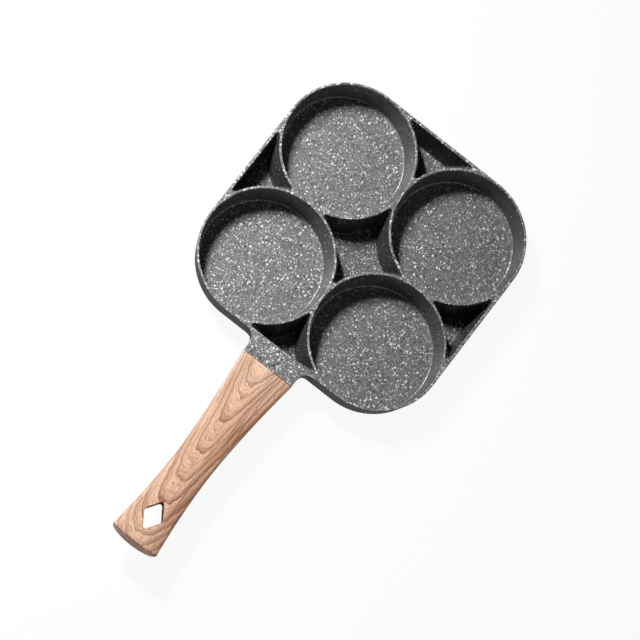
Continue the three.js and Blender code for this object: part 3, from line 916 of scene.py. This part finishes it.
def hangingHole():
    # a rounded diamond with a lip at the top, widening downwards; it leans with the top of the grip
    length = gripHigh.y - gripLow.y
    share = 1 - grip["holeFromEnd"] / length
    middleY = gripLow.y + grip["holeFromEnd"]
    lean = (gripTop(share + 0.01) - gripTop(share - 0.01)) / (0.02 * length)
    across, along = grip["holeAcross"] / 2, grip["holeLong"] / 2
    inside = across * along / sqrt(across ** 2 + along ** 2)
    lip = grip["holeLip"]
    surface = gripTop(share) + grip["lipProud"]
    levels = [(surface - grip["holeBelow"], 0.0)]
    for step in range(grip["lipSteps"] + 1):
        angle = pi / 2 * step / grip["lipSteps"]
        levels.append((surface - lip * (1 - sin(angle)), lip * (1 - cos(angle))))
    levels.append((surface + grip["holeAbove"], lip))
    bm = bmesh.new()
    bmesh.ops.create_circle(bm, cap_ends=True, segments=4, radius=1)
    bmesh.ops.scale(bm, verts=bm.verts, vec=(across, along, 1))
    roundCorners(bm, bm.verts[:], grip["holeCorner"], 6)
    bmesh.ops.delete(bm, geom=bm.faces[:], context="FACES_ONLY")
    ring = bm.edges[:]
    before = 1.0
    for step, (z, wider) in enumerate(levels):
        if step:
            grown = bmesh.ops.extrude_edge_only(bm, edges=ring)["geom"]
            ring = [part for part in grown if isinstance(part, bmesh.types.BMEdge) and part.is_boundary]
        verts = {vert for edge in ring for vert in edge.verts}
        size = 1 + (max(0, surface - z) * tan(radians(grip["holeDraft"])) + wider) / inside
        for vert in verts:
            vert.co.x *= size / before
            vert.co.y *= size / before
            vert.co.z = z
        before = size
    for vert in bm.verts:
        vert.co.z -= lean * vert.co.y
        vert.co.y += middleY
    closeEnds(bm)
    return newObject("hangingHole", cleaned(bm))


def gripCuts():
    room = grip["socketRoom"]
    topZ = rimZ - pan["tangCover"]
    half = pan["tangWidth"] / 2 + room
    lowest = topZ - pan["tangThickness"] - room
    seatZ = lowest - grip["seatWall"]
    bm = bmesh.new()
    block(bm, (-half, panLow.y - room, lowest), (half, gripHigh.y + pan["tangRoot"], topZ + room))
    cylinder(bm, washerHigh.x - washerLow.x + 2 * room, seatZ - grip["boreBelow"], seatZ, 0, screwY)
    socket = newObject("gripCuts", cleaned(bm))
    hole = bmesh.new()
    past = grip["boreOverlap"]
    cylinder(hole, pan["screwHole"], seatZ - past, seatZ + grip["seatWall"] + past, 0, screwY)
    combine(socket, newObject("screwPassage", cleaned(hole)), "UNION")
    return socket


def handleGrip(material):
    made = gripBlank()
    combine(made, gripCuts(), "DIFFERENCE")
    combine(made, hangingHole(), "DIFFERENCE")
    bm = bmesh.new()
    bm.from_mesh(made.data)
    cleaned(bm).to_mesh(made.data)
    bm.free()
    dress(made, "handle_grip", material, 40)
    return made


# punched plate let into the underside
plate = {
    "hole": 6.0,
    "ringPitch": 15.0,
    "rings": 4,
    "holesPerRing": 6,
    "edgeRound": 0.15,
}


def inductionPlate(material):
    bm = bmesh.new()
    bmesh.ops.create_circle(bm, segments=144, radius=plateHigh.x)
    for ring in range(1, plate["rings"] + 1):
        count = plate["holesPerRing"] * ring
        for step in range(count):
            spot = Matrix.Rotation(2 * pi * step / count, 4, "Z")
            spot = spot @ Matrix.Translation((ring * plate["ringPitch"], 0, 0))
            bmesh.ops.create_circle(bm, segments=24, radius=plate["hole"] / 2, matrix=spot)
    bmesh.ops.triangle_fill(bm, use_beauty=True, edges=bm.edges[:])
    bmesh.ops.solidify(bm, geom=bm.faces[:], thickness=plateHigh.z - plateLow.z)
    low = min(vert.co.z for vert in bm.verts)
    bmesh.ops.translate(bm, verts=bm.verts, vec=(0, 0, plateLow.z - low))
    cleaned(bm)
    sharp = [edge for edge in bm.edges if edge.calc_face_angle(0) > radians(60)]
    roundEdges(bm, sharp, plate["edgeRound"], 2)
    made = newObject("punchedPlate", cleaned(bm))
    dress(made, "induction_plate", material, 35)
    return made


# screw and washers
screw = {
    "shank": 5.0,
    "headHeight": 3.2,
    "crown": 1.9,
    "recessSpan": 5.0,
    "recessWidth": 1.1,
    "recessDepth": 1.8,
    "recessTaper": 0.7,
    "tip": 0.6,
    "washerRound": 0.15,
    "washerSplit": 1.0,
}


def handleScrew(material):
    bearing = screwLow.z + screw["headHeight"]
    head = (screwHigh.x - screwLow.x) / 2
    shank = screw["shank"] / 2
    profile = [(0, screwLow.z), (head, screwLow.z), (head, bearing), (shank, bearing),
               (shank, screwHigh.z - screw["tip"]), (shank - screw["tip"], screwHigh.z), (0, screwHigh.z)]
    bm = bmesh.new()
    verts = [bm.verts.new((radius, 0, z)) for radius, z in profile]
    edges = [bm.edges.new(pair) for pair in zip(verts, verts[1:])]
    bmesh.ops.spin(bm, geom=verts + edges, cent=(0, 0, 0), axis=(0, 0, 1), angle=2 * pi, steps=64,
                   use_merge=True)
    cleaned(bm)
    rim = edgesAt(bm, screwLow.z)
    rim = [edge for edge in rim if all(vert.co.xy.length > head - 0.01 for vert in edge.verts)]
    roundEdges(bm, rim, screw["crown"], 8)
    bmesh.ops.translate(bm, verts=bm.verts, vec=(0, screwY, 0))
    made = newObject("panHeadScrew", cleaned(bm))
    long, narrow = screw["recessSpan"] / 2, screw["recessWidth"] / 2
    for width, depth in ((long, narrow), (narrow, long)):
        slot = bmesh.new()
        bottom = screwLow.z + screw["recessDepth"]
        block(slot, (-width, screwY - depth, screwLow.z - 1), (width, screwY + depth, bottom))
        for vert in slot.verts:  # the recess narrows towards its bottom
            if vert.co.z > screwLow.z:
                vert.co.x *= screw["recessTaper"]
                vert.co.y = screwY + (vert.co.y - screwY) * screw["recessTaper"]
        combine(made, newObject("slot", slot), "DIFFERENCE")
    dress(made, "handle_screw", material, 35)
    return made


def washer(name, node, low, high, split, material):
    outer = (high.x - low.x) / 2
    inner = pan["screwHole"] / 2
    bm = bmesh.new()
    bmesh.ops.create_grid(bm, x_segments=1, y_segments=1, size=0.5)
    bmesh.ops.scale(bm, verts=bm.verts, vec=(outer - inner, high.z - low.z, 1))
    roundCorners(bm, bm.verts[:], screw["washerRound"], 3)
    bmesh.ops.rotate(bm, verts=bm.verts, cent=(0, 0, 0), matrix=Matrix.Rotation(pi / 2, 3, "X"))
    bmesh.ops.translate(bm, verts=bm.verts, vec=((outer + inner) / 2, 0, (low.z + high.z) / 2))
    bmesh.ops.delete(bm, geom=bm.faces[:], context="FACES_ONLY")
    gap = split / ((outer + inner) / 2)
    bmesh.ops.rotate(bm, verts=bm.verts, cent=(0, 0, 0), matrix=Matrix.Rotation(gap / 2, 3, "Z"))
    bmesh.ops.spin(bm, geom=bm.verts[:] + bm.edges[:], cent=(0, 0, 0), axis=(0, 0, 1), angle=2 * pi - gap,
                   steps=72, use_merge=split == 0)
    closeEnds(bm)
    bmesh.ops.translate(bm, verts=bm.verts, vec=(0, screwY, 0))
    made = newObject(name, cleaned(bm))
    dress(made, node, material, 35)
    return made


# light and floor
studio = {
    "lampAt": (-0.91, 0.25, 1.08),
    "lampAim": (-0.53, -0.04, 0.0),
    "lampSize": (0.2, 0.52),
    "lampSpread": 64.0,
    "lampPower": 8.1,
    "skyTop": 0.01,
    "skyHorizon": 0.11,
    "skyBand": (0.12, 0.34),  # the horizon fades to the top between these heights
    "patchTowards": (0.85, -0.25, 0.32),
    "patchEdge": 0.88,
    "patchLevel": 0.9,
    "tentWhite": 1.0,  # seen in reflections only
    "tentTop": (0.45, 0.65),
    "floorHalf": 40.0,
    "floorAt": -0.0003,
    "floorGlow": 0.93,  # share of the floor's white that no shadow takes away
    "floorWhite": (0.92, 0.92, 0.92),
}


def makeLight():
    lamp = bpy.data.lights.new("softbox", "AREA")
    lamp.shape = "ELLIPSE"
    lamp.size, lamp.size_y = studio["lampSize"]
    lamp.spread = radians(studio["lampSpread"])
    lamp.energy = studio["lampPower"]
    holder = bpy.data.objects.new("softbox", lamp)
    holder.location = studio["lampAt"]
    aim = Vector(studio["lampAim"]) - Vector(studio["lampAt"])
    holder.rotation_euler = aim.to_track_quat("-Z", "Y").to_euler()
    bpy.context.scene.collection.objects.link(holder)


def makeSky():
    # a light tent: dim overhead, brighter round the horizon and in one soft patch across from the lamp
    world = bpy.data.worlds.new("tent")
    world.use_nodes = True
    bpy.context.scene.world = world
    tree = world.node_tree
    sky = tree.nodes["Background"]
    ray = addNode(tree, "ShaderNodeTexCoord").outputs["Generated"]
    height = addNode(tree, "ShaderNodeSeparateXYZ", {0: ray}).outputs["Z"]
    top, horizon = studio["skyTop"], studio["skyHorizon"]
    low, high = studio["skyBand"]
    shade = colourRamp(tree, height, ((low, (horizon,) * 3), (high, (top,) * 3)))
    towards = Vector(studio["patchTowards"]).normalized()
    near = addNode(tree, "ShaderNodeVectorMath", {0: ray, 1: towards}, operation="DOT_PRODUCT")
    near = near.outputs["Value"]
    patch = remap(tree, near, studio["patchEdge"], 1, 0, studio["patchLevel"])
    shade = blendColour(tree, patch, shade, (1, 1, 1, 1))
    mirrored = addNode(tree, "ShaderNodeLightPath").outputs["Is Glossy Ray"]
    white = remap(tree, height, *studio["tentTop"], studio["tentWhite"], 0)
    shade = blendColour(tree, calculate(tree, "MULTIPLY", mirrored, white), shade, (1, 1, 1, 1))
    tree.links.new(shade, sky.inputs["Color"])


def makeFloor():
    bm = bmesh.new()
    bmesh.ops.create_grid(bm, x_segments=1, y_segments=1, size=studio["floorHalf"])
    bmesh.ops.translate(bm, verts=bm.verts, vec=(0, 0, studio["floorAt"]))
    floor = newObject("floor", bm)
    material = bpy.data.materials.new("floor")
    material.use_nodes = True
    tree = material.node_tree
    tree.nodes.clear()
    path = addNode(tree, "ShaderNodeLightPath").outputs
    seen = calculate(tree, "MAXIMUM", path["Is Camera Ray"], path["Is Glossy Ray"])
    seen = calculate(tree, "MAXIMUM", seen, path["Is Transmission Ray"])
    share = calculate(tree, "MULTIPLY", seen, studio["floorGlow"])
    matte = addNode(tree, "ShaderNodeBsdfDiffuse", {"Color": (*studio["floorWhite"], 1)}).outputs[0]
    glow = addNode(tree, "ShaderNodeEmission", {"Color": (1, 1, 1, 1), "Strength": 1.0}).outputs[0]
    mixed = addNode(tree, "ShaderNodeMixShader", {0: share, 1: matte, 2: glow}).outputs[0]
    addNode(tree, "ShaderNodeOutputMaterial", {"Surface": mixed})
    floor.data.materials.append(material)


makeCamera()
makeLight()
makeSky()
makeFloor()
print("camera, light and floor made")

panBody(stoneCoating())
handleGrip(woodGrain())
inductionPlate(brushedSteel("rolledSheet"))
zinc = brushedSteel("zincPlate")
handleScrew(zinc)
washer("splitWasher", "spring_washer", springLow, springHigh, screw["washerSplit"], zinc)
washer("plainWasher", "flat_washer", washerLow, washerHigh, 0.0, zinc)

bpy.context.scene.view_settings.view_transform = "Standard"
